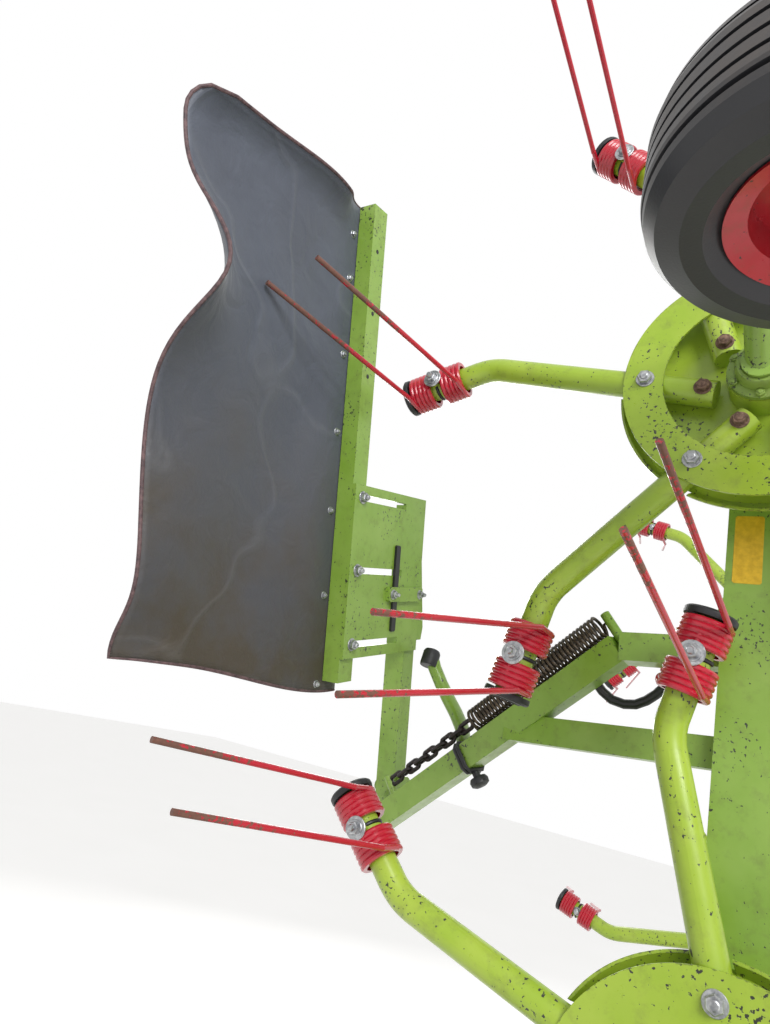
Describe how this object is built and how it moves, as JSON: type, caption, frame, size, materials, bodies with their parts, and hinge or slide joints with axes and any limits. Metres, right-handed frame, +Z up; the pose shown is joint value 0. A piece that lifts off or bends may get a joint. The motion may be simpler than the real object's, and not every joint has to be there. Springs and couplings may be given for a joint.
{
  "type": "hay tedder",
  "caption": "Mounted rotary hay tedder with its wings folded up: tined rotors on tube arms, a wheel under each rotor, three-point headstock, parking stand and a hinged border curtain.",
  "frame": {"origin": "on the ground, in the middle of the folded machine's bounding box and on its centre plane", "axes": "+X to the right, +Y forward in the direction of travel, +Z up"},
  "size_m": [3.0822, 1.887, 3.8142],
  "materials": {
    "green_paint": "worn gloss",
    "gear_green": "worn gloss over castings",
    "red_tines": "gloss, worn bare and rusty towards the tips",
    "red_rim": "gloss",
    "tyre": "dusty",
    "black_metal": "satin",
    "chrome": "polished",
    "dark_steel": "greasy and rusty",
    "galvanised": "dull zinc",
    "curtain_rubber": "matt, dusty, creased"
  },
  "bodies": {
    "frame": {"centre_frame": "green_paint", "centre_gearboxes": "gear_green", "centre_legs": "green_paint"},
    "headstock": {"headstock": "green_paint"},
    "stand": {"parking_stand": "galvanised"},
    "right_wing": {"right_wing_frame": "green_paint", "right_wing_gearboxes": "gear_green", "right_wing_legs": "green_paint", "curtain_carrier": "green_paint", "curtain_spring": "dark_steel", "curtain_chain": "dark_steel"},
    "right_barrel": {"right_lift_barrel": "black_metal"},
    "right_rod": {"right_lift_rod": "chrome"},
    "left_wing": {"left_wing_frame": "green_paint", "left_wing_gearboxes": "gear_green", "left_wing_legs": "green_paint"},
    "left_barrel": {"left_lift_barrel": "black_metal"},
    "left_rod": {"left_lift_rod": "chrome"},
    "right_inner_rotor": {"right_inner_disc": "green_paint", "right_inner_arms": "green_paint", "right_inner_tines": "red_tines"},
    "right_inner_wheel": {"right_inner_tyre": "tyre", "right_inner_rim": "red_rim"},
    "right_middle_rotor": {"right_middle_disc": "green_paint", "right_middle_arms": "green_paint", "right_middle_tines": "red_tines"},
    "right_middle_wheel": {"right_middle_tyre": "tyre", "right_middle_rim": "red_rim"},
    "right_outer_rotor": {"right_outer_disc": "green_paint", "right_outer_arms": "green_paint", "right_outer_tines": "red_tines"},
    "right_outer_wheel": {"right_outer_tyre": "tyre", "right_outer_rim": "red_rim"},
    "left_inner_rotor": {"left_inner_disc": "green_paint", "left_inner_arms": "green_paint", "left_inner_tines": "red_tines"},
    "left_inner_wheel": {"left_inner_tyre": "tyre", "left_inner_rim": "red_rim"},
    "left_middle_rotor": {"left_middle_disc": "green_paint", "left_middle_arms": "green_paint", "left_middle_tines": "red_tines"},
    "left_middle_wheel": {"left_middle_tyre": "tyre", "left_middle_rim": "red_rim"},
    "left_outer_rotor": {"left_outer_disc": "green_paint", "left_outer_arms": "green_paint", "left_outer_tines": "red_tines"},
    "left_outer_wheel": {"left_outer_tyre": "tyre", "left_outer_rim": "red_rim"},
    "curtain": {"curtain_post": "green_paint", "curtain_plate": "green_paint", "curtain_channel": "green_paint", "curtain_sheet": "curtain_rubber"}
  },
  "joints": [
    {"name": "headstock_swivel", "type": "hinge", "parent": "frame", "child": "headstock", "pos_m": [0, 0.5735, 0.793], "axis": [0, 0, 1], "range_deg": [-15, 15]},
    {"name": "parking_stand_slide", "type": "slide", "parent": "headstock", "child": "stand", "axis": [0, 0, 1], "range_m": [0, 0.35]},
    {"name": "right_wing_fold", "type": "hinge", "parent": "frame", "child": "right_wing", "pos_m": [0.62, -0.1265, 0.903], "axis": [0, 1, 0], "range_deg": [0, 94]},
    {"name": "right_barrel_tilt", "type": "hinge", "parent": "frame", "child": "right_barrel", "pos_m": [0, -0.0765, 0.948], "axis": [0, 1, 0], "range_deg": [0, 40]},
    {"name": "right_rod_slide", "type": "slide", "parent": "right_barrel", "child": "right_rod", "axis": [0.8255, 0, 0.5644], "range_m": [0, 0.45]},
    {"name": "left_wing_fold", "type": "hinge", "parent": "frame", "child": "left_wing", "pos_m": [-0.62, -0.1265, 0.903], "axis": [0, -1, 0], "range_deg": [0, 94]},
    {"name": "left_barrel_tilt", "type": "hinge", "parent": "frame", "child": "left_barrel", "pos_m": [0, -0.1765, 0.948], "axis": [0, -1, 0], "range_deg": [0, 40]},
    {"name": "left_rod_slide", "type": "slide", "parent": "left_barrel", "child": "left_rod", "axis": [-0.8255, 0, 0.5644], "range_m": [0, 0.45]},
    {"name": "right_inner_rotor_turn", "type": "hinge", "parent": "frame", "child": "right_inner_rotor", "pos_m": [0.55, -0.1265, 0.633], "axis": [0, 0, 1], "continuous": true},
    {"name": "right_inner_wheel_turn", "type": "hinge", "parent": "frame", "child": "right_inner_wheel", "pos_m": [0.523, -0.1065, 0.203], "axis": [1, 0, 0], "continuous": true},
    {"name": "right_middle_rotor_turn", "type": "hinge", "parent": "right_wing", "child": "right_middle_rotor", "pos_m": [0.89, -0.1265, 1.933], "axis": [-1, 0, 0], "continuous": true},
    {"name": "right_middle_wheel_turn", "type": "hinge", "parent": "right_wing", "child": "right_middle_wheel", "pos_m": [1.32, -0.0285, 1.906], "axis": [0, 0, 1], "continuous": true},
    {"name": "right_outer_rotor_turn", "type": "hinge", "parent": "right_wing", "child": "right_outer_rotor", "pos_m": [0.89, -0.1265, 3.033], "axis": [-1, 0, 0], "continuous": true},
    {"name": "right_outer_wheel_turn", "type": "hinge", "parent": "right_wing", "child": "right_outer_wheel", "pos_m": [1.32, -0.0285, 3.006], "axis": [0, 0, 1], "continuous": true},
    {"name": "left_inner_rotor_turn", "type": "hinge", "parent": "frame", "child": "left_inner_rotor", "pos_m": [-0.55, -0.1265, 0.633], "axis": [0, 0, 1], "continuous": true},
    {"name": "left_inner_wheel_turn", "type": "hinge", "parent": "frame", "child": "left_inner_wheel", "pos_m": [-0.523, -0.1065, 0.203], "axis": [1, 0, 0], "continuous": true},
    {"name": "left_middle_rotor_turn", "type": "hinge", "parent": "left_wing", "child": "left_middle_rotor", "pos_m": [-0.89, -0.1265, 1.933], "axis": [1, 0, 0], "continuous": true},
    {"name": "left_middle_wheel_turn", "type": "hinge", "parent": "left_wing", "child": "left_middle_wheel", "pos_m": [-1.32, -0.0285, 1.906], "axis": [0, 0, 1], "continuous": true},
    {"name": "left_outer_rotor_turn", "type": "hinge", "parent": "left_wing", "child": "left_outer_rotor", "pos_m": [-0.89, -0.1265, 3.033], "axis": [1, 0, 0], "continuous": true},
    {"name": "left_outer_wheel_turn", "type": "hinge", "parent": "left_wing", "child": "left_outer_wheel", "pos_m": [-1.32, -0.0285, 3.006], "axis": [0, 0, 1], "continuous": true},
    {"name": "curtain_swing", "type": "hinge", "parent": "right_wing", "child": "curtain", "pos_m": [0.438, -0.9065, 2.223], "axis": [0, -1, 0], "range_deg": [0, 60]}
  ],
  "couplings": [
    {"joint": "right_barrel_tilt", "follows": "right_wing_fold", "ratio": 0.3278},
    {"joint": "right_rod_slide", "follows": "right_wing_fold", "m_per_rad": 0.261},
    {"joint": "left_barrel_tilt", "follows": "left_wing_fold", "ratio": 0.3278},
    {"joint": "left_rod_slide", "follows": "left_wing_fold", "m_per_rad": 0.261},
    {"joint": "right_middle_rotor_turn", "follows": "right_inner_rotor_turn", "ratio": -1},
    {"joint": "right_outer_rotor_turn", "follows": "right_inner_rotor_turn", "ratio": 1},
    {"joint": "left_inner_rotor_turn", "follows": "right_inner_rotor_turn", "ratio": -1},
    {"joint": "left_middle_rotor_turn", "follows": "right_inner_rotor_turn", "ratio": 1},
    {"joint": "left_outer_rotor_turn", "follows": "right_inner_rotor_turn", "ratio": -1}
  ]
}
